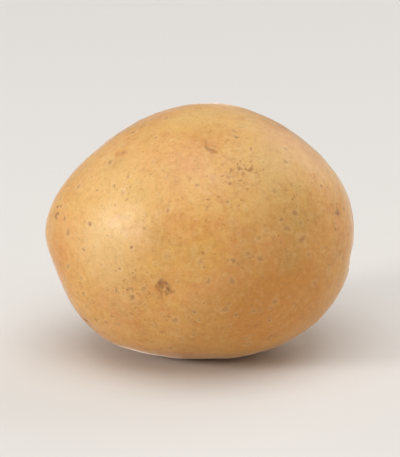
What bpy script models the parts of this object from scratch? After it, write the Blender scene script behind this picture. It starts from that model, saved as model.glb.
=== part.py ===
"""A small yellow-skinned table potato: one solid tuber, lying on the small flat spot of its underside.

It lies along X, with its heel, where the stolon fed it, at -X and its rose end at +X.
The front faces -Y, +Z is up, and z = 0 is the surface it rests on.
Lengths are in metres, and angles are in degrees.
"""

import math

import bmesh
import bpy
from mathutils import Vector
from mathutils.bvhtree import BVHTree

# Driving dimensions
LENGTH = 0.062  # heel to rose end
WIDTH = 0.056  # front to back
HEIGHT = 0.0500  # from the resting surface to the crown

REST_CUT = 0.0010  # how far the round underside would reach below the flat spot
REST_EDGE = 0.0004  # height over which the flat spot rolls into the round

EYE_DEPTH = 0.00065
EYE_ACROSS = 0.0029  # reach of an eye's dent round the tuber
EYE_ALONG = 0.0020  # reach of an eye's dent towards the heel and the rose end
BROW_RISE = 0.00022  # the leaf scar, an arc on the heel's side of each eye
BROW_REACH = 0.0026  # from the eye's centre to the crest of its brow
BROW_HALF_WIDTH = 0.0009

HEEL_DIP_DEPTH = 0.0011  # the dip that the stolon grew out of
HEEL_DIP_REACH = 0.0038
STUB_RISE = 0.0008  # the dried end of the stolon, in the middle of the dip
STUB_REACH = 0.0011

# The mesh
ROUND_DETAIL = 5  # icosphere subdivisions
FINE_MARGIN = 0.0014  # how far past an eye's brow or the dip the mesh is made finer

# Where things are is said from the heel: degrees from the heel towards the rose end, then
# degrees round the long axis, from the front (0) over the crown (90) and back (180).

# The broad swells (+) and flats (-) that make a tuber of an egg:
# degrees from the heel, degrees round, degrees of reach, push in metres.
SWELLS = (
    (0, 0, 16, 0.0008),  # blunt point of the heel
    (46, 108, 40, -0.0026),  # long slope from the crown down to the heel
    (20, -72, 18, -0.0009),  # flat flank under the heel
    (48, -72, 22, 0.0009),  # corner where that flank meets the underside
    (90, -72, 24, -0.0006),  # flat of the underside
    (132, -72, 32, 0.0010),  # full lower side of the rose end
    (134, 108, 30, -0.0013),  # rounded top of the rose end
    (52, 8, 20, -0.0006),  # flat cheek at the front of the heel
    (82, 22, 24, 0.0004),  # low ridge between the cheek and the hollow
    (126, 14, 15, -0.0005),  # shallow hollow at the front of the rose end
    (118, 165, 34, 0.0013),  # full shoulder at the back
    (66, 196, 26, -0.0014),  # hollow at the back, near the heel
    (100, 236, 26, -0.0009),  # flat low at the back
)

# Eyes wind round the tuber from heel to rose end, each near 137 degrees on from the last:
# degrees from the heel, degrees round, share of the full eye size.
EYES = (
    (30, 163, 0.70),
    (41, -58, 0.75),
    (55, 62, 0.70),
    (65, 214, 0.90),
    (76, -7, 1.00),
    (84, 131, 0.90),
    (96, -128, 0.85),
    (95, 56, 0.80),
    (110, 186, 1.00),
    (121, -42, 0.70),
    (128, 100, 0.85),
    (140, 238, 0.80),
    (156, 33, 0.85),
    (160, 162, 0.75),
    (168, -66, 0.90),
)

# The heel's dip lies a little behind the point of the heel.
HEEL_DIP = (11, 160)

SKIN_COLOUR = (0.62, 0.36, 0.13, 1.0)
SKIN_ROUGHNESS = 0.48


def clear_scene():
    for old in list(bpy.data.objects):
        bpy.data.objects.remove(old, do_unlink=True)


def towards(from_heel, around):
    """Unit direction of a place on the tuber."""
    a, b = math.radians(from_heel), math.radians(around)
    return Vector((-math.cos(a), -math.sin(a) * math.cos(b), math.sin(a) * math.sin(b)))


def fading(distance, reach):
    """1 at no distance, falling smoothly to nearly 0 at twice the reach."""
    return math.exp(-((distance / reach) ** 2))


def swell(mesh):
    """Turns the unit ball into an egg of the driving size, then pushes its swells and flats."""
    half = Vector((LENGTH, WIDTH, HEIGHT + REST_CUT)) / 2
    places = [(towards(a, b), math.radians(reach), push) for a, b, reach, push in SWELLS]
    for vertex in mesh.verts:
        out = vertex.co.normalized()
        push = sum(p * fading(out.angle(place), reach) for place, reach, p in places)
        vertex.co = Vector((out.x * half.x, out.y * half.y, out.z * half.z)) + out * push


def fit_to_size(mesh):
    """Scales and moves the tuber to its driving sizes, centred over the origin."""
    low = Vector([min(v.co[i] for v in mesh.verts) for i in range(3)])
    high = Vector([max(v.co[i] for v in mesh.verts) for i in range(3)])
    wanted = Vector((LENGTH, WIDTH, HEIGHT + REST_CUT))
    scale = Vector([wanted[i] / (high[i] - low[i]) for i in range(3)])
    bottom = Vector(((low.x + high.x) / 2, (low.y + high.y) / 2, low.z))
    bmesh.ops.translate(mesh, vec=-bottom, verts=mesh.verts)
    bmesh.ops.scale(mesh, vec=scale, verts=mesh.verts)
    bmesh.ops.translate(mesh, vec=(0, 0, -REST_CUT), verts=mesh.verts)


def middle():
    return Vector((0, 0, HEIGHT / 2))


def on_skin(tree, from_heel, around):
    """(place on the skin, outward direction, direction along the skin towards the heel)."""
    place, normal, _, _ = tree.ray_cast(middle(), towards(from_heel, around))
    heelwards = Vector((-1, 0, 0))
    heelwards = (heelwards - normal * heelwards.dot(normal)).normalized()
    return place, normal, heelwards


def refine(mesh, centre, reach):
    """Halves the edges within reach of a point, so that a small feature has enough faces."""
    edges = [e for e in mesh.edges if min((v.co - centre).length for v in e.verts) < reach]
    bmesh.ops.subdivide_edges(mesh, edges=edges, cuts=1, smooth=1.0, use_grid_fill=True)
    bmesh.ops.triangulate(mesh, faces=mesh.faces)
    mesh.normal_update()


def press_eye(mesh, centre, normal, heelwards, size):
    """Dents the skin at an eye, and raises its brow, an arc on the heel's side of the dent."""
    across = normal.cross(heelwards)
    for vertex in mesh.verts:
        offset = (vertex.co - centre) / size
        x, y, height = offset.dot(across), offset.dot(heelwards), offset.dot(normal)
        dent = EYE_DEPTH * fading(math.hypot(x / EYE_ACROSS, y / EYE_ALONG, height / EYE_ALONG), 1)
        distance = offset.length
        heel_side = max(0.0, y / distance) ** 2 if distance > 0 else 0.0
        brow = BROW_RISE * fading(distance - BROW_REACH, BROW_HALF_WIDTH) * heel_side
        vertex.co += normal * (brow - dent) * size


def press_heel_dip(mesh, centre, normal):
    """Dents the skin where the stolon joined, and leaves its dried stub standing in the dip."""
    for vertex in mesh.verts:
        distance = (vertex.co - centre).length
        dip = HEEL_DIP_DEPTH * fading(distance, HEEL_DIP_REACH)
        stub = STUB_RISE * fading(distance, STUB_REACH)
        vertex.co += normal * (stub - dip)


def press_rest(mesh):
    """Presses what is below the resting surface flat, rolling softly into the round above it."""
    for vertex in mesh.verts:
        z = vertex.co.z
        roll = max(REST_EDGE - abs(z), 0.0) / REST_EDGE
        vertex.co.z = max(z, 0.0) + roll**2 * REST_EDGE / 4
    flat = [f for f in mesh.faces if all(v.co.z == 0.0 for v in f.verts)]
    bmesh.ops.dissolve_faces(mesh, faces=flat, use_verts=True)


def make_skin():
    skin = bpy.data.materials.new("potato_skin")
    skin.use_nodes = True
    shader = skin.node_tree.nodes["Principled BSDF"]
    shader.inputs["Base Color"].default_value = SKIN_COLOUR
    shader.inputs["Roughness"].default_value = SKIN_ROUGHNESS
    shader.inputs["Metallic"].default_value = 0.0
    skin.diffuse_color = SKIN_COLOUR
    return skin


def shape_tuber():
    """The whole tuber as one closed mesh: swells first, then eyes, heel dip and resting spot."""
    mesh = bmesh.new()
    bmesh.ops.create_icosphere(mesh, subdivisions=ROUND_DETAIL, radius=1.0)
    swell(mesh)
    fit_to_size(mesh)
    mesh.normal_update()

    tree = BVHTree.FromBMesh(mesh)
    eyes = [(*on_skin(tree, a, b), size) for a, b, size in EYES]
    dip, dip_normal, _ = on_skin(tree, *HEEL_DIP)
    for centre, _, _, size in eyes:
        refine(mesh, centre, BROW_REACH * size + FINE_MARGIN)
    refine(mesh, dip, HEEL_DIP_REACH + FINE_MARGIN)
    refine(mesh, dip, STUB_REACH + FINE_MARGIN)
    for eye in eyes:
        press_eye(mesh, *eye)
    press_heel_dip(mesh, dip, dip_normal)

    fit_to_size(mesh)  # again, to take up the little that the dents and brows changed
    press_rest(mesh)
    bmesh.ops.recalc_face_normals(mesh, faces=mesh.faces)
    return mesh


def make_potato():
    mesh = shape_tuber()
    data = bpy.data.meshes.new("potato")
    mesh.to_mesh(data)
    mesh.free()
    data.shade_smooth()
    data.materials.append(make_skin())
    potato = bpy.data.objects.new("potato", data)
    bpy.context.scene.collection.objects.link(potato)


clear_scene()
make_potato()
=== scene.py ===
import math
import random

import bmesh
import bpy
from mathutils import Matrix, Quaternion, Vector, noise
from mathutils.bvhtree import BVHTree
from mathutils.kdtree import KDTree


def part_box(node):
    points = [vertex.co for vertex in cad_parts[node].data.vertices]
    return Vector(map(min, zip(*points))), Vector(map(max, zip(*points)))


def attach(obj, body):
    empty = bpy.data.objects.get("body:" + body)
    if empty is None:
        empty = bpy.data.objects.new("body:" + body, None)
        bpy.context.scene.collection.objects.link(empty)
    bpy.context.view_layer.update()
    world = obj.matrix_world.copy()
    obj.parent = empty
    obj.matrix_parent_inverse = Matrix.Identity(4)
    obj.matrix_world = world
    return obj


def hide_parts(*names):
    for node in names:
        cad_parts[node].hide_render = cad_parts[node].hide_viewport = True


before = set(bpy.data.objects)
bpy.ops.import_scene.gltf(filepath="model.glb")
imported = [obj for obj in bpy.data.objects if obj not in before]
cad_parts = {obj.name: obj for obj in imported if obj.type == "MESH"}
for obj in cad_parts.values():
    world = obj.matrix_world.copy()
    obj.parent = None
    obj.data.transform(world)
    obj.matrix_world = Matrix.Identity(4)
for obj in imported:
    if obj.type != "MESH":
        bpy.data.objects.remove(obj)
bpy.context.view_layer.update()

# The looks of a small yellow-skinned table potato: its fine surface, its skin, and a plain studio.
# Lengths are in metres. The heel is at -X, the rose end at +X, the front at -Y.
# Places on the tuber are said from the heel: degrees from the heel towards the rose end, then
# degrees round the long axis, from the front (0) over the crown (90) and the back (180).

MM = 0.001
MERGE_WITHIN = 0.001 * MM

# ---------------------------------------------------------------- the fine surface in numbers

SHAKE_SEED = 3  # for the pushes that make pores and eyes uneven
GRID_CUTS = 99  # cuts along each edge of the cube that is blown up into the skin
FACET_SMOOTHING = 24  # passes that take the CAD model's facets away
FINE_SMOOTHING = 2  # passes that settle the finer grid
EYE_GRID_REACH = 3.4 * MM  # the grid is finer this near to an eye or the heel
PORE_GRID_REACH = 0.7 * MM  # and finer again this near to a pore
REST_HEIGHT = 0.02 * MM  # what is lower than this belongs to the flat spot
REST_FADE = 1.0 * MM  # height over which the relief sets in above the flat spot

WAVES = (  # (size of the waves, how far they move the skin)
    (12.0 * MM, 0.26 * MM),
    (6.0 * MM, 0.14 * MM),
    (2.6 * MM, 0.055 * MM),
    (1.1 * MM, 0.028 * MM),
)
SCURF_WAVES = (0.9 * MM, 0.07 * MM)

# Eyes: degrees from the heel, degrees round, share of full size, and how brown they are, from 0 to 1.
EYES = (
    (30, 163, 0.70, 0.5),
    (41, -58, 0.75, 0.6),
    (55, 62, 0.70, 0.3),
    (65, 214, 0.90, 0.7),
    (76, -7, 1.00, 0.8),
    (84, 131, 0.90, 0.4),
    (96, -128, 0.85, 0.6),
    (95, 56, 0.80, 0.45),
    (110, 186, 1.00, 0.8),
    (121, -42, 0.70, 0.2),
    (128, 100, 0.85, 0.5),
    (140, 238, 0.80, 0.6),
    (156, 33, 0.85, 0.65),
    (160, 162, 0.75, 0.5),
    (168, -66, 0.90, 0.6),
)
EYE_SEED = 5
EYE_TURN = 20  # most degrees that an eye is turned from facing the heel
EYE_FADE = (6.0 * MM, 4.0 * MM)  # an eye's marks have ended at the first and are whole at the second
EYE_WARP = ((2.4 * MM, 1.1 * MM), (0.8 * MM, 0.30 * MM))  # (size, how far) of an eye's unevenness
SCAR_OFFSET = 1.35 * MM  # the leaf scar, a bow on the heel's side of an eye
SCAR_BEND = 0.13 / MM  # how much the bow's ends fall back, per length squared
SCAR_HALF_LENGTH = 2.4 * MM
SCAR_DEPTH = 0.10 * MM
SCAR_WIDTH = 0.26 * MM
SCAR_GAPS = 0.9 * MM  # size of the stretches where the scar and its lip are strong or weak
LIP_RISE = 0.17 * MM  # the skin that stands over the leaf scar
LIP_EDGE = 0.35 * MM
LIP_REACH = 1.5 * MM
BUDS = (  # (across, towards the heel, radius, height)
    (0.10 * MM, 0.25 * MM, 0.55 * MM, 0.13 * MM),
    (-1.25 * MM, 0.30 * MM, 0.36 * MM, 0.06 * MM),
    (1.20 * MM, 0.15 * MM, 0.40 * MM, 0.07 * MM),
)
BUD_SQUASH = 1.3  # how many times broader than long a bud is
BUD_GROOVE = (1.9, 0.7, 0.35)  # round a bud: how far out and how wide, in radii, and share of height

HEEL_DIP = (11, 160)
HEEL_GRAIN = 0.5 * MM  # size of the raggedness of the stub and its ring
STUB_RISE = 0.22 * MM
STUB_RADIUS = 0.7 * MM
HEEL_RING_RISE = 0.16 * MM
HEEL_RING_RADIUS = 1.15 * MM
HEEL_RING_WIDTH = 0.32 * MM
PUCKER_RISE = 0.16 * MM
PUCKER_PITCH = 1.9  # the greater, the more puckers there are round the stub
PUCKER_TWIST = 0.3 / MM  # the greater, the sooner the puckers change outwards
PUCKER_RADIUS = 2.4 * MM  # where the puckers are highest
PUCKER_REACH = 1.5 * MM

PORE_SEED = 11
PORE_COUNT = 560
PORE_GAP = 1.80 * MM  # usual distance that pores keep
PORE_GAP_CHANGE = 1.92 * MM  # how much it shrinks where they crowd and grows where they thin out
PORE_CROWDS = 8.0 * MM  # size of the areas where pores crowd or thin out
PORE_RADIUS = (0.20 * MM, 0.55 * MM)
PORE_STRETCH = 1.7  # most times longer than broad
PORE_DEPTH = 0.20  # share of a pore's radius
PORE_FADE = 3.0  # radii from a pore at which its marks have ended
PORE_WARP = (0.7 * MM, 0.22 * MM)
EYE_CLEARANCE = 2.4 * MM  # pores stay off an eye and the heel by this much
HEEL_CLEARANCE = 3.0 * MM

# The plainest brown marks: degrees from the heel, degrees round, radius, tone from 0 to 1.
FRECKLES = (
    (75, -6, 0.80 * MM, 1.0),
    (79, -9, 0.50 * MM, 0.8),
    (96, 54, 0.60 * MM, 0.9),
    (49, 58, 0.60 * MM, 0.8),
    (29, 15, 0.60 * MM, 0.8),
    (62, -15, 0.60 * MM, 0.8),
    (67, -9, 0.50 * MM, 0.6),
    (131, 26, 0.70 * MM, 0.8),
    (134, 12, 0.65 * MM, 0.7),
    (127, 18, 0.60 * MM, 0.7),
    (107, 45, 0.60 * MM, 0.7),
    (102, 40, 0.50 * MM, 0.6),
    (128, 55, 0.55 * MM, 0.7),
    (80, -23, 0.55 * MM, 0.7),
    (103, -4, 0.50 * MM, 0.6),
    (30, -12, 0.50 * MM, 0.7),
    (57, 36, 0.45 * MM, 0.6),
    (121, -18, 0.50 * MM, 0.6),
    (100, -17, 0.50 * MM, 0.6),
    (70, 190, 0.70 * MM, 0.9),
    (118, 150, 0.60 * MM, 0.8),
    (88, 235, 0.65 * MM, 0.8),
    (145, 215, 0.60 * MM, 0.7),
    (50, 205, 0.60 * MM, 0.8),
)

# Patches of the skin that differ, and of painted shade: degrees from the heel, degrees round, reach.
PATCHES = {
    "scurf": (  # where specks and netting gather
        (64, -12, 3.2 * MM),
        (109, 45, 3.6 * MM),
        (43, -40, 2.0 * MM),
        (20, 40, 3.0 * MM),
        (78, 120, 4.5 * MM),
        (120, 210, 6.0 * MM),
        (48, 230, 4.5 * MM),
        (150, 130, 4.0 * MM),
        (100, 270, 6.0 * MM),
        (160, 290, 4.0 * MM),
    ),
    "dusky": (  # faintly green
        (51, 55, 2.5 * MM),
        (132, 20, 4.2 * MM),
        (128, 2, 2.5 * MM),
        (90, 200, 5.0 * MM),
        (60, 110, 3.0 * MM),
    ),
    "pale": (
        (53, 40, 11.0 * MM),
        (119, 49, 8.0 * MM),
        (50, 2, 7.0 * MM),
        (90, 80, 5.0 * MM),
        (75, 170, 10.0 * MM),
        (130, 255, 8.0 * MM),
    ),
    "tanned_and_painted_shade": (  # deeper gold, and painted shade low on the front towards the rose end
        (20, -20, 6.0 * MM),
        # These two, low on the front towards the rose end, are painted shade; the others are deeper
        # gold.
        (114, -24, 12.0 * MM),
        (131, -20, 9.0 * MM),
        (60, 250, 10.0 * MM),
        (140, 195, 12.0 * MM),
    ),
    "rubbed": (  # where thin flakes have lifted
        (56, 41, 3.0 * MM),
        (112, 150, 4.0 * MM),
        (70, 258, 3.5 * MM),
    ),
}

# ---------------------------------------------------------------- colours and finish

GOLD = (0.695, 0.360, 0.080, 1)
# also used for the painted shade in the eyes' dents
OCHRE = (0.590, 0.250, 0.045, 1)
PALE = (0.720, 0.470, 0.170, 1)
STRAW = (0.720, 0.425, 0.125, 1)
BLUSH = (0.690, 0.315, 0.100, 1)
# deeper gold, and also the colour of the painted shade low on the front towards the rose end
TAN_AND_PAINTED_SHADE = (0.600, 0.228, 0.012, 1)
OLIVE = (0.500, 0.290, 0.065, 1)
CORK = (0.300, 0.120, 0.027, 1)
SOIL = (0.100, 0.040, 0.013, 1)
PALE_CORK = (0.780, 0.540, 0.260, 1)
PALE_BUD = (0.760, 0.450, 0.210, 1)

SKIN_FINISH = {  # the same all over the skin
    "Subsurface Weight": 0.10,
    "Subsurface Radius": (1.0, 0.40, 0.12),
    "Subsurface Scale": 1.5 * MM,
    "Specular IOR Level": 0.65,
    "Sheen Weight": 1.0,
    "Sheen Roughness": 0.20,
    "Sheen Tint": (1.0, 0.84, 0.74, 1),
}

PAPER = (0.72, 0.70, 0.67, 1)
PAPER_ROUGHNESS = 0.9

# ---------------------------------------------------------------- the studio in numbers

FLOOR_HALF = 3.0  # half the side of the floor
CAMERA_ELEVATION = 18  # degrees above the horizon
CAMERA_DISTANCE = 0.9
CAMERA_NEAR = 0.01
SENSOR_WIDTH = 36  # millimetres
VIEW_WIDTH = 0.080  # width of the view at the potato
WHITE = (1.0, 1.0, 1.0)
ROOM_LIGHT = 0.26
LIGHT_DISTANCE = 0.9
LIGHTS = (  # (name, degrees round from the camera, degrees up, breadth, watts, colour)
    ("key_softbox", -66, 17, 0.20, 4.25, (1.0, 0.98, 0.96)),
    ("overhead_softbox", 0, 75, 0.90, 5.8, WHITE),
    ("right_softbox", 60, 12, 0.60, 1.2, (1.0, 0.80, 0.58)),
    ("right_rim_softbox", 135, 30, 0.80, 2.8, WHITE),
    ("left_rim_softbox", -135, 30, 0.60, 0.7, WHITE),
)


# ---------------------------------------------------------------- places on the tuber


noise.seed_set(SHAKE_SEED)  # without it noise_vector differs from run to run


def towards(from_heel, around):
    """Unit direction of a place on the tuber, seen from its middle."""
    a, b = math.radians(from_heel), math.radians(around)
    return Vector((-math.cos(a), -math.sin(a) * math.cos(b), math.sin(a) * math.sin(b)))


def fading(distance, reach):
    """1 at no distance, falling smoothly to nearly 0 at twice the reach."""
    return math.exp(-((distance / reach) ** 2))


def between(value, low, high):
    """0 at low, 1 at high, and smooth between; low may be the greater."""
    share = min(1.0, max(0.0, (value - low) / (high - low)))
    return share * share * (3 - 2 * share)


def shaken(point, size, reach):
    """A point pushed about at random, so that a mark that is laid out on it comes out uneven."""
    return point + reach * noise.noise_vector(point / size)


def cad_surface(node):
    """A tree for casting onto a merged copy of a CAD node."""
    copy = bmesh.new()
    copy.from_mesh(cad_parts[node].data)
    bmesh.ops.remove_doubles(copy, verts=copy.verts, dist=MERGE_WITHIN)
    tree = BVHTree.FromBMesh(copy)
    copy.free()
    return tree


def tree_of(points):
    """A tree that finds the nearest of some points."""
    tree = KDTree(len(points))
    for index, point in enumerate(points):
        tree.insert(point, index)
    tree.balance()
    return tree


class Eye:
    """One eye: its centre, its directions across and towards the heel, its size and brownness."""

    def __init__(self, centre, normal, size, brown, turn):
        self.centre = centre
        heelwards = Vector((-1, 0, 0))
        heelwards = (heelwards - normal * heelwards.dot(normal)).normalized()
        self.heelwards = Quaternion(normal, turn) @ heelwards
        self.across = normal.cross(self.heelwards)
        self.size = size
        self.brown = brown

    def place(self, point):
        """Where a point is, across and towards the heel from the eye, on an eye of full size."""
        for warp in EYE_WARP:
            point = shaken(point, *warp)
        offset = (point - self.centre) / self.size
        return offset.dot(self.across), offset.dot(self.heelwards)


class Pore:
    """One pore or freckle, an uneven oval."""

    def __init__(self, centre, normal, radius, tone, dice):
        self.centre = centre
        self.radius = radius
        self.tone = tone
        side = normal.orthogonal().normalized()
        self.along = Quaternion(normal, dice.uniform(0, math.pi)) @ side
        self.squeeze = 1 - 1 / dice.uniform(1, PORE_STRETCH) ** 2

    def steps(self, point):
        """Distance from the pore's middle, in radii."""
        offset = shaken(point, *PORE_WARP) - self.centre
        along = offset.dot(self.along)
        flat = offset.length_squared - self.squeeze * along * along
        return min(math.sqrt(max(0.0, flat)) / self.radius, PORE_FADE)


class Tuber:
    """The CAD surface, its middle, and the places of its small features."""

    def __init__(self, node):
        low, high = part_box(node)
        self.middle = (low + high) / 2
        self.surface = cad_surface(node)
        self.eyes = self.lay_out_eyes()
        self.heel = self.place(*HEEL_DIP)[0]
        self.pores = self.scatter_pores()
        self.pore_tree = tree_of([pore.centre for pore in self.pores])
        self.patches = {
            name: [(self.place(a, b)[0], reach) for a, b, reach in places]
            for name, places in PATCHES.items()
        }

    def cast(self, direction):
        """The place on the surface in a direction from the middle, and the way out of it there."""
        point, normal, _, _ = self.surface.ray_cast(self.middle, direction)
        return point, normal

    def place(self, from_heel, around):
        """The place on the surface that is said from the heel, and the way out of it there."""
        return self.cast(towards(from_heel, around))

    def lay_out_eyes(self):
        dice = random.Random(EYE_SEED)
        eyes = []
        for from_heel, around, size, brown in EYES:
            turn = math.radians(dice.uniform(-EYE_TURN, EYE_TURN))
            eyes.append(Eye(*self.place(from_heel, around), size, brown, turn))
        return eyes

    def scatter_pores(self):
        """The freckles, and random pores that keep their distance and stay off the eyes."""
        dice = random.Random(PORE_SEED)
        pores = []
        for from_heel, around, radius, tone in FRECKLES:
            pores.append(Pore(*self.place(from_heel, around), radius, tone, dice))
        smallest, largest = PORE_RADIUS
        while len(pores) < PORE_COUNT:
            centre, normal = self.cast(Vector([dice.gauss(0, 1) for _ in range(3)]))
            radius = smallest + (largest - smallest) * dice.random() ** 2
            tone = dice.random()
            gap = PORE_GAP + PORE_GAP_CHANGE * noise.noise(centre / PORE_CROWDS)
            near_pore = any((centre - pore.centre).length < gap for pore in pores)
            near_eye = any((centre - eye.centre).length < EYE_CLEARANCE * eye.size for eye in self.eyes)
            near_heel = (centre - self.heel).length < HEEL_CLEARANCE
            if not (near_pore or near_eye or near_heel):
                pores.append(Pore(centre, normal, radius, tone, dice))
        return pores

    def nearest_pore(self, point):
        return self.pores[self.pore_tree.find(point)[1]]

    def nearest_eye(self, point):
        return min(self.eyes, key=lambda eye: (point - eye.centre).length_squared)


# ---------------------------------------------------------------- the fine surface


def blow_up(cube):
    """Moves the points of a gridded cube onto the unit ball, keeping the grid even."""
    for vertex in cube.verts:
        even = [math.tan(c * math.pi / 4) for c in vertex.co]
        vertex.co = Vector(even).normalized()


def refine(skin, centres, reach):
    """Halves the grid within reach of the given places."""
    tree = tree_of(centres)
    near = {v for v in skin.verts if tree.find(v.co)[2] < reach}
    edges = [e for e in skin.edges if e.verts[0] in near or e.verts[1] in near]
    bmesh.ops.subdivide_edges(skin, edges=edges, cuts=1, use_grid_fill=True)


def smooth(skin, passes):
    for _ in range(passes):
        bmesh.ops.smooth_vert(
            skin, verts=skin.verts, factor=0.5, use_axis_x=True, use_axis_y=True, use_axis_z=True
        )


def waviness(point):
    """How far the slow, shallow unevenness of the skin lifts it at a point."""
    return sum(rise * noise.noise(point / size) for size, rise in WAVES)


def patchiness(point, patches):
    """How much of a patch there is at a point, from 0 to 1."""
    return min(1, sum(fading((point - centre).length, reach) for centre, reach in patches))


def scurf_relief(point):
    size, rise = SCURF_WAVES
    return rise * noise.noise(point / size)


def pore_relief(steps, tone):
    """A faint rim, round a dark pore's pit or a pale one's pimple, all in shares of its depth."""
    rim = 0.25 * fading(steps - 1.5, 0.5)
    return rim + (0.7 - 1.6 * tone) * fading(steps, 0.85)


def eye_relief(x, y, unevenness):
    """Leaf scar, lip and buds of an eye, at x across and y towards the heel from its centre."""
    off_bow = y - SCAR_OFFSET + SCAR_BEND * x * x
    spread = fading(x, SCAR_HALF_LENGTH) * (1 + unevenness)
    scar = -SCAR_DEPTH * fading(off_bow, SCAR_WIDTH)
    lip = LIP_RISE * between(off_bow, 0, LIP_EDGE) * fading(off_bow, LIP_REACH)
    groove_at, groove_width, groove_share = BUD_GROOVE
    buds = 0
    for bud_x, bud_y, radius, height in BUDS:
        steps = math.hypot(x - bud_x, BUD_SQUASH * (y - bud_y)) / radius
        groove = groove_share * fading(steps - groove_at, groove_width)
        buds += height * (fading(steps, 1) - groove)
    return (scar + lip) * spread + buds


def heel_relief(offset):
    """Puckers that run out from the heel's stub, and the stub's ragged end in a ring of cork."""
    r = offset.length
    turn = math.atan2(offset.y, offset.z)
    round_about = Vector((math.cos(turn), math.sin(turn), PUCKER_TWIST * r))
    folds = noise.noise(PUCKER_PITCH * round_about)
    puckers = PUCKER_RISE * folds * fading(r - PUCKER_RADIUS, PUCKER_REACH)
    ragged = noise.noise(offset / HEEL_GRAIN)
    ring = HEEL_RING_RISE * fading(r - HEEL_RING_RADIUS, HEEL_RING_WIDTH) * (1 + 0.8 * ragged)
    stub = STUB_RISE * fading(r, STUB_RADIUS) * (1 + 1.2 * ragged)
    return puckers + ring + stub


def marks_at(point, tuber):
    """How far the fine relief lifts a point of the skin, and its place among the marks."""
    pore = tuber.nearest_pore(point)
    eye = tuber.nearest_eye(point)
    eye_x, eye_y = eye.place(point)
    marks = {name: patchiness(point, patches) for name, patches in tuber.patches.items()}
    marks["pore"] = pore.steps(point)
    marks["pore_tone"] = pore.tone
    marks["eye_x"] = eye_x / MM
    marks["eye_y"] = eye_y / MM
    marks["eye_near"] = between(math.hypot(eye_x, eye_y), *EYE_FADE)
    marks["eye_brown"] = eye.brown
    marks["heel"] = (point - tuber.heel).length / MM

    lift = waviness(point)
    lift += marks["scurf"] * scurf_relief(point)
    lift += PORE_DEPTH * pore.radius * pore_relief(marks["pore"], pore.tone)
    lift += eye_relief(eye_x, eye_y, noise.noise(point / SCAR_GAPS)) * eye.size * marks["eye_near"]
    lift += heel_relief(point - tuber.heel)
    return lift, marks


def mark(skin, tuber):
    """Raises the fine relief, and writes each point's place among the marks as attributes."""
    names = ("pore", "pore_tone", "eye_x", "eye_y", "eye_near", "eye_brown", "heel", *PATCHES)
    layers = {name: skin.verts.layers.float.new(name) for name in names}
    for vertex in skin.verts:
        lift, marks = marks_at(vertex.co, tuber)
        for name, layer in layers.items():
            vertex[layer] = marks[name]
        above_rest = min(1.0, max(0.0, vertex.co.z - REST_HEIGHT) / REST_FADE)
        vertex.co += vertex.normal * lift * above_rest


def model_skin(tuber):
    """The tuber's skin as one fine closed mesh, with the marks on it as attributes."""
    skin = bmesh.new()
    bmesh.ops.create_cube(skin, size=2)
    bmesh.ops.subdivide_edges(skin, edges=skin.edges, cuts=GRID_CUTS, use_grid_fill=True)
    blow_up(skin)
    for vertex in skin.verts:
        vertex.co = tuber.cast(vertex.co)[0]
    smooth(skin, FACET_SMOOTHING)
    refine(skin, [eye.centre for eye in tuber.eyes] + [tuber.heel], EYE_GRID_REACH)
    refine(skin, [pore.centre for pore in tuber.pores], PORE_GRID_REACH)
    smooth(skin, FINE_SMOOTHING)
    skin.normal_update()
    mark(skin, tuber)
    for vertex in skin.verts:
        vertex.co.z = max(vertex.co.z, 0.0)
    bmesh.ops.recalc_face_normals(skin, faces=skin.faces)
    return skin


# ---------------------------------------------------------------- materials


class Wire:
    """An output of a node. Arithmetic on it adds Math nodes to its tree."""

    def __init__(self, tree, socket):
        self.tree = tree
        self.socket = socket

    def add(self, kind, settings=None, inputs=None, output=0):
        """Adds a node: its settings first, then the value or the link of each of its inputs."""
        node = self.tree.nodes.new(kind)
        for name, value in (settings or {}).items():
            setattr(node, name, value)
        for name, value in (inputs or {}).items():
            if isinstance(value, Wire):
                self.tree.links.new(value.socket, node.inputs[name])
            else:
                node.inputs[name].default_value = value
        return Wire(self.tree, node.outputs[output])

    def math(self, operation, *values):
        return self.add("ShaderNodeMath", {"operation": operation}, dict(enumerate(values)))

    def __add__(self, other):
        return self.math("ADD", self, other)

    def __sub__(self, other):
        return self.math("SUBTRACT", self, other)

    def __rsub__(self, other):
        return self.math("SUBTRACT", other, self)

    def __mul__(self, other):
        return self.math("MULTIPLY", self, other)

    __radd__ = __add__
    __rmul__ = __mul__

    def __abs__(self):
        return self.math("ABSOLUTE", self)

    def rising(self, low, high):
        """0 below low, 1 above high, and smooth between; with low above high it falls instead."""
        ends = {"From Min": low, "From Max": high, "Value": self}
        return self.add("ShaderNodeMapRange", {"interpolation_type": "SMOOTHSTEP"}, ends)

    def noise(self, size, seed, detail=2.0, roughness=0.5):
        """Soft noise with features of a size, from about 0.2 to 0.8, on this place."""
        inputs = {"Vector": self, "W": seed, "Scale": 1 / size, "Detail": detail, "Roughness": roughness}
        return self.add("ShaderNodeTexNoise", {"noise_dimensions": "4D"}, inputs)

    def warped(self, size, reach):
        """This place pushed about, so that a pattern on it comes out uneven."""
        push = self.add("ShaderNodeTexNoise", inputs={"Vector": self, "Scale": 1 / size}, output="Color")
        inputs = {0: push, 1: (reach, reach, reach), 2: self}
        return self.add("ShaderNodeVectorMath", {"operation": "MULTIPLY_ADD"}, inputs)

    def net(self, size):
        """Distance to the border of irregular cells of a size, in cells."""
        inputs = {"Vector": self, "Scale": 1 / size}
        return self.add("ShaderNodeTexVoronoi", {"feature": "DISTANCE_TO_EDGE"}, inputs)

    def towards(self, colour, amount):
        """This colour, mixed by an amount with another."""
        return self.add("ShaderNodeMix", {"data_type": "RGBA"}, {0: amount, 6: self, 7: colour}, 2)

    def attribute(self, name):
        return self.add("ShaderNodeAttribute", {"attribute_name": name}, output="Fac")


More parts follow.
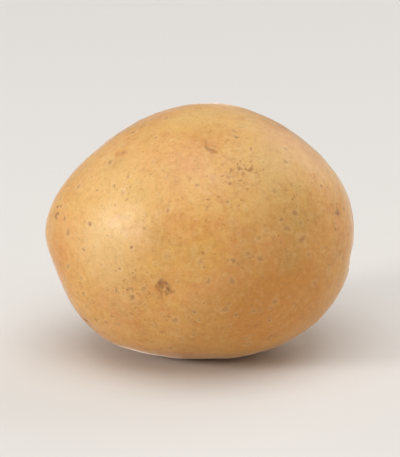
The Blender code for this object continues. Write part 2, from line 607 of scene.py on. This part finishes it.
class SkinPattern:
    """What varies over the skin. The colour, the gloss and the finest relief share its masks."""

    def __init__(self, place):
        self.place = place
        self.grain = place.noise(0.55 * MM, 8.0, 5, 0.65)
        self.sand = place.noise(1.3 * MM, 17.0, 4, 0.6)
        self.ragged = (place.noise(0.35 * MM, 14.0, 2) - 0.5) * 1.4
        self.scurf = place.attribute("scurf") * place.noise(2.4 * MM, 7.0).rising(0.35, 0.60)
        self.net = self.netting()
        self.specks = (place.noise(0.8 * MM, 9.0, 3, 0.6) + 0.10 * self.scurf).rising(0.59, 0.68)
        self.flakes = place.noise(0.7 * MM, 11.0, 2).rising(0.54, 0.62) * place.attribute("rubbed")
        self.pore = place.attribute("pore") + self.ragged
        self.pore_tone = place.attribute("pore_tone")
        self.heel = place.attribute("heel") + 0.5 * self.ragged

    def netting(self):
        """The borders of small cells, which come and go."""
        borders = self.place.warped(1.1 * MM, 1.3 * MM).net(1.0 * MM).rising(0.14, 0.0)
        return borders * self.place.noise(0.8 * MM, 15.0, 3).rising(0.42, 0.58)

    def mottled(self):
        """The skin's slow changes of tone, and painted shade low on the front towards the rose end."""
        place = self.place
        colour = place.add("ShaderNodeRGB")
        colour.socket.default_value = GOLD
        colour = colour.towards(OCHRE, place.noise(15 * MM, 1.0).rising(0.44, 0.68) * 0.55)
        colour = colour.towards(STRAW, place.noise(11 * MM, 2.0).rising(0.47, 0.70) * 0.65)
        colour = colour.towards(BLUSH, place.noise(12 * MM, 3.0).rising(0.48, 0.66) * 0.60)
        colour = colour.towards(OLIVE, place.noise(9 * MM, 4.0).rising(0.52, 0.74) * 0.48)
        colour = colour.towards(OCHRE, place.noise(3.2 * MM, 5.0, 4, 0.6).rising(0.46, 0.66) * 0.50)
        colour = colour.towards(STRAW, place.noise(2.0 * MM, 6.0, 4, 0.6).rising(0.48, 0.66) * 0.52)
        colour = colour.towards(PALE, place.attribute("pale") * 0.60)
        # Painted shade: the patches low on the front towards the rose end darken the skin there; the
        # other patches are deeper gold.
        colour = colour.towards(TAN_AND_PAINTED_SHADE, place.attribute("tanned_and_painted_shade") * 0.80)
        return colour.towards(OLIVE, place.attribute("dusky") * 0.50)

    def grained(self, colour):
        """Fine sandy grain, paler and browner than the skin."""
        colour = colour.towards(PALE_CORK, self.grain.rising(0.52, 0.70) * 0.24)
        colour = colour.towards(CORK, self.grain.rising(0.48, 0.30) * 0.20)
        colour = colour.towards(PALE_CORK, self.sand.rising(0.52, 0.66) * 0.16)
        return colour.towards(CORK, self.sand.rising(0.48, 0.34) * 0.16)

    def speckled(self, colour):
        """Faint netting, specks that gather in the scurf, and pale flakes where it is rubbed."""
        speck_area = self.place.noise(7 * MM, 10.0).rising(0.45, 0.65)
        colour = colour.towards(CORK, self.net * (0.10 + 0.28 * self.scurf))
        colour = colour.towards(CORK, self.specks * (0.28 + 0.32 * speck_area + 0.40 * self.scurf))
        return colour.towards(PALE_CORK, self.flakes * 0.65)

    def pored(self, colour):
        """Pores: a faint pale rim round a brown middle."""
        tone = self.pore_tone
        colour = colour.towards(PALE_CORK, self.pore.rising(2.4, 1.2) * 0.16)
        return colour.towards(CORK, self.pore.rising(1.4, 0.2) * (0.14 + 0.72 * tone * tone))

    def eyed(self, colour):
        """Eyes: a dent painted browner as shade, a brown leaf scar, soil among the buds, and a pale
        middle bud.
        """
        place = self.place
        x, y = place.attribute("eye_x"), place.attribute("eye_y")
        near = place.attribute("eye_near")
        brown = place.attribute("eye_brown") * near
        off_centre = place.math("SQRT", x * x + y * y)
        # Painted shade: the eye's dent is browner towards its middle.
        colour = colour.towards(OCHRE, off_centre.rising(4.0, 0.4) * near * 0.50)

        off_bow = y - SCAR_OFFSET / MM + SCAR_BEND * MM * x * x + 0.25 * self.ragged
        scar = abs(off_bow).rising(0.36, 0.04) * abs(x).rising(3.0, 0.8) * self.grain.rising(0.36, 0.58)
        colour = colour.towards(CORK, scar * (0.15 * near + 0.60 * brown))

        soil = off_centre.rising(1.6, 0.4) * place.noise(0.9 * MM, 16.0, 3, 0.6).rising(0.38, 0.54)
        colour = colour.towards(SOIL, soil * brown * 0.90)

        bud_x, bud_y = x - BUDS[0][0] / MM, y - BUDS[0][1] / MM
        off_bud = place.math("SQRT", bud_x * bud_x + bud_y * bud_y) + 0.2 * self.ragged
        return colour.towards(PALE_BUD, off_bud.rising(0.45, 0.15) * (near - brown) * 0.6)

    def heeled(self, colour):
        """Heel: a corky stub in a browner dip."""
        colour = colour.towards(OCHRE, self.heel.rising(5.5, 1.5) * 0.5)
        colour = colour.towards(CORK, self.heel.rising(1.9, 1.2) * (0.3 + 0.6 * self.grain))
        return colour.towards(SOIL, self.heel.rising(0.9, 0.5) * self.sand.rising(0.35, 0.60) * 0.8)

    def colour(self):
        colour = self.grained(self.mottled())
        colour = self.pored(self.speckled(colour))
        return self.heeled(self.eyed(colour))

    def roughness(self):
        rough = 0.30 + 0.14 * self.place.noise(3 * MM, 12.0, 3) + 0.14 * self.grain
        return rough + 0.2 * self.scurf + 0.2 * self.heel.rising(2.0, 1.0)

    def bump(self):
        """The finest relief, in metres: grain and flakes stand up, netting and pores are sunk."""
        height = 0.020 * MM * self.place.noise(0.8 * MM, 13.0, 4, 0.6)
        height = height + 0.018 * MM * self.grain
        height = height - 0.014 * MM * self.net
        height = height + 0.030 * MM * self.scurf * self.specks
        height = height + 0.020 * MM * self.flakes
        height = height - 0.020 * MM * self.pore.rising(1.1, 0.5) * self.pore_tone
        inputs = {"Distance": 1.0, "Strength": 1.0, "Height": height}
        return self.place.add("ShaderNodeBump", inputs=inputs)


def skin_material():
    """Thin potato skin: mottled gold, fine netting, pores and specks, eyes and a corky heel, with
    painted shade low on the front and in the eyes' dents.
    """
    material = bpy.data.materials.new("potato_skin")
    material.use_nodes = True
    tree = material.node_tree
    shader = tree.nodes["Principled BSDF"]
    coordinates = tree.nodes.new("ShaderNodeTexCoord")
    pattern = SkinPattern(Wire(tree, coordinates.outputs["Object"]))
    tree.links.new(pattern.colour().socket, shader.inputs["Base Color"])
    tree.links.new(pattern.roughness().socket, shader.inputs["Roughness"])
    tree.links.new(pattern.bump().socket, shader.inputs["Normal"])
    for name, value in SKIN_FINISH.items():
        shader.inputs[name].default_value = value
    return material


def paper_material():
    material = bpy.data.materials.new("studio_paper")
    material.use_nodes = True
    shader = material.node_tree.nodes["Principled BSDF"]
    shader.inputs["Base Color"].default_value = PAPER
    shader.inputs["Roughness"].default_value = PAPER_ROUGHNESS
    return material


# ---------------------------------------------------------------- pieces and studio


def add_object(name, data):
    thing = bpy.data.objects.new(name, data)
    bpy.context.scene.collection.objects.link(thing)
    return thing


def add_piece(name, mesh, material):
    data = bpy.data.meshes.new(name)
    mesh.to_mesh(data)
    mesh.free()
    data.shade_smooth()
    data.materials.append(material)
    return add_object(name, data)


def make_potato():
    skin = add_piece("potato_skin", model_skin(Tuber("potato")), skin_material())
    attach(skin, "root")
    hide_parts("potato")


def make_floor():
    mesh = bmesh.new()
    bmesh.ops.create_grid(mesh, x_segments=1, y_segments=1, size=FLOOR_HALF)
    add_piece("floor", mesh, paper_material())


def stand_round(thing, target, side, elevation, distance):
    """Puts a camera or a light at degrees round and degrees up from a target, and aims it there."""
    a, e = math.radians(side), math.radians(elevation)
    out = Vector((math.sin(a) * math.cos(e), -math.cos(a) * math.cos(e), math.sin(e)))
    thing.location = target + distance * out
    thing.rotation_euler = (target - thing.location).to_track_quat("-Z", "Y").to_euler()


def make_camera(target):
    lens = bpy.data.cameras.new("camera")
    lens.sensor_fit = "HORIZONTAL"
    lens.sensor_width = SENSOR_WIDTH
    lens.lens = SENSOR_WIDTH * CAMERA_DISTANCE / VIEW_WIDTH
    lens.clip_start = CAMERA_NEAR
    camera = add_object("camera", lens)
    stand_round(camera, target, 0, CAMERA_ELEVATION, CAMERA_DISTANCE)
    bpy.context.scene.camera = camera


def make_lights(target):
    for name, side, elevation, breadth, power, colour in LIGHTS:
        lamp = bpy.data.lights.new(name, "AREA")
        lamp.shape = "SQUARE"
        lamp.size = breadth
        lamp.energy = power
        lamp.color = colour
        stand_round(add_object(name, lamp), target, side, elevation, LIGHT_DISTANCE)


def make_room():
    """Even light from all round, and colours shown as they are."""
    room = bpy.data.worlds.new("studio")
    room.use_nodes = True
    background = room.node_tree.nodes["Background"]
    background.inputs["Color"].default_value = (*WHITE, 1)
    background.inputs["Strength"].default_value = ROOM_LIGHT
    bpy.context.scene.world = room
    bpy.context.scene.view_settings.view_transform = "Standard"


make_potato()
low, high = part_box("potato")
middle = (low + high) / 2
make_floor()
make_camera(middle)
make_lights(middle)
make_room()
